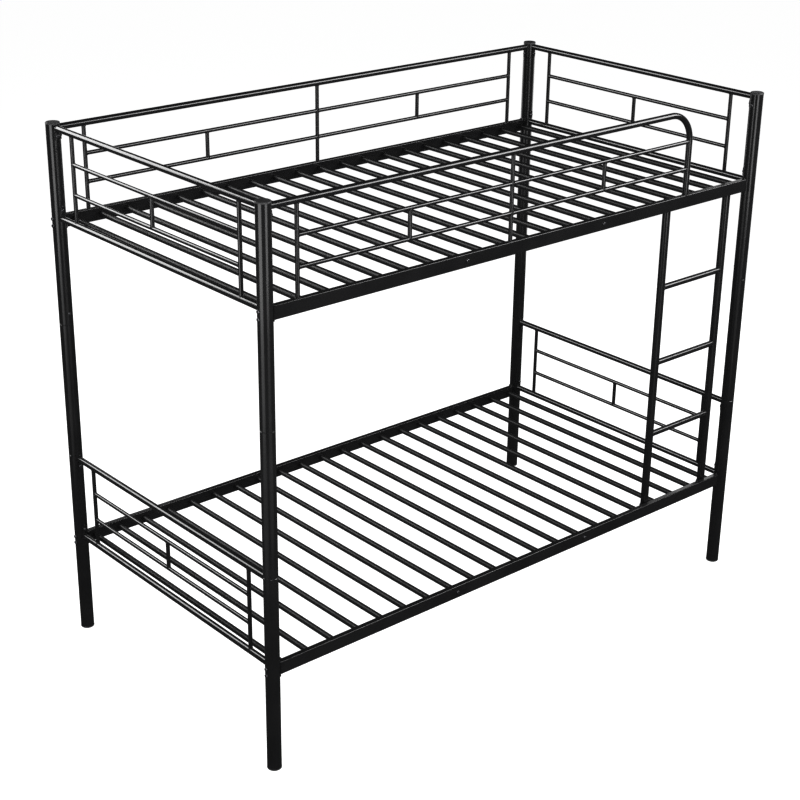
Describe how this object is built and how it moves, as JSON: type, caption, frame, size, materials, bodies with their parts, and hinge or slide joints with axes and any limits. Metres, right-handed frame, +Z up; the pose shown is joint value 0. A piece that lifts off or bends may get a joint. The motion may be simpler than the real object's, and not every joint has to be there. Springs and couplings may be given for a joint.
{
  "type": "bunk bed with ladder",
  "caption": "Twin-over-twin metal bunk bed: tubular posts and end frames, slatted decks, guard rails on the upper bunk and an upright ladder fixed at the front.",
  "frame": {"origin": "on the floor at the centre of the bed's footprint", "axes": "+X along the bed towards the ladder end, -Y towards the ladder side (the front), +Z up"},
  "size_m": [1.9904, 1.061, 1.6764],
  "materials": {
    "frame_coating": "semi-gloss black powder coat",
    "slat_coating": "semi-gloss black powder coat",
    "cap_plastic": "satin moulded black",
    "hardware": "black oxide",
    "sleeve_steel": "plain drawn steel"
  },
  "bodies": {
    "root": {"back_guard_rods": "frame_coating", "back_guard_top_rail": "frame_coating", "back_guard_uprights": "frame_coating", "end_frame_lugs": "frame_coating", "end_frame_screws": "hardware", "front_guard_rods": "frame_coating", "front_guard_top_tube": "frame_coating", "front_guard_uprights": "frame_coating", "guard_lugs": "frame_coating", "guard_screws": "hardware", "joint_sleeve_screws": "hardware", "ladder_bolts": "hardware", "ladder_left_rail": "frame_coating", "ladder_right_rail": "frame_coating", "ladder_rungs": "frame_coating", "lower_back_side_rail": "frame_coating", "lower_bolted_slats": "slat_coating", "lower_front_side_rail": "frame_coating", "lower_joint_sleeves": "sleeve_steel", "lower_left_end_bottom_rail": "frame_coating", "lower_left_end_rods": "frame_coating", "lower_left_end_top_rail": "frame_coating", "lower_left_end_uprights": "frame_coating", "lower_plug_in_slats": "slat_coating", "lower_post_back_left": "frame_coating", "lower_post_back_right": "frame_coating", "lower_post_front_left": "frame_coating", "lower_post_front_right": "frame_coating", "lower_right_end_bottom_rail": "frame_coating", "lower_right_end_rods": "frame_coating", "lower_right_end_top_rail": "frame_coating", "lower_right_end_uprights": "frame_coating", "middle_post_back_left": "frame_coating", "middle_post_back_right": "frame_coating", "middle_post_front_left": "frame_coating", "middle_post_front_right": "frame_coating", "post_foot_caps": "cap_plastic", "post_top_caps": "cap_plastic", "side_rail_bolts": "hardware", "side_rail_nuts": "hardware", "side_rail_saddles": "frame_coating", "slat_bolts": "hardware", "upper_back_side_rail": "frame_coating", "upper_bolted_slats": "slat_coating", "upper_front_side_rail": "frame_coating", "upper_joint_sleeves": "sleeve_steel", "upper_left_end_bottom_rail": "frame_coating", "upper_left_end_rods": "frame_coating", "upper_left_end_top_rail": "frame_coating", "upper_left_end_uprights": "frame_coating", "upper_plug_in_slats": "slat_coating", "upper_post_back_left": "frame_coating", "upper_post_back_right": "frame_coating", "upper_post_front_left": "frame_coating", "upper_post_front_right": "frame_coating", "upper_right_end_bottom_rail": "frame_coating", "upper_right_end_rods": "frame_coating", "upper_right_end_top_rail": "frame_coating", "upper_right_end_uprights": "frame_coating"}
  },
  "joints": []
}
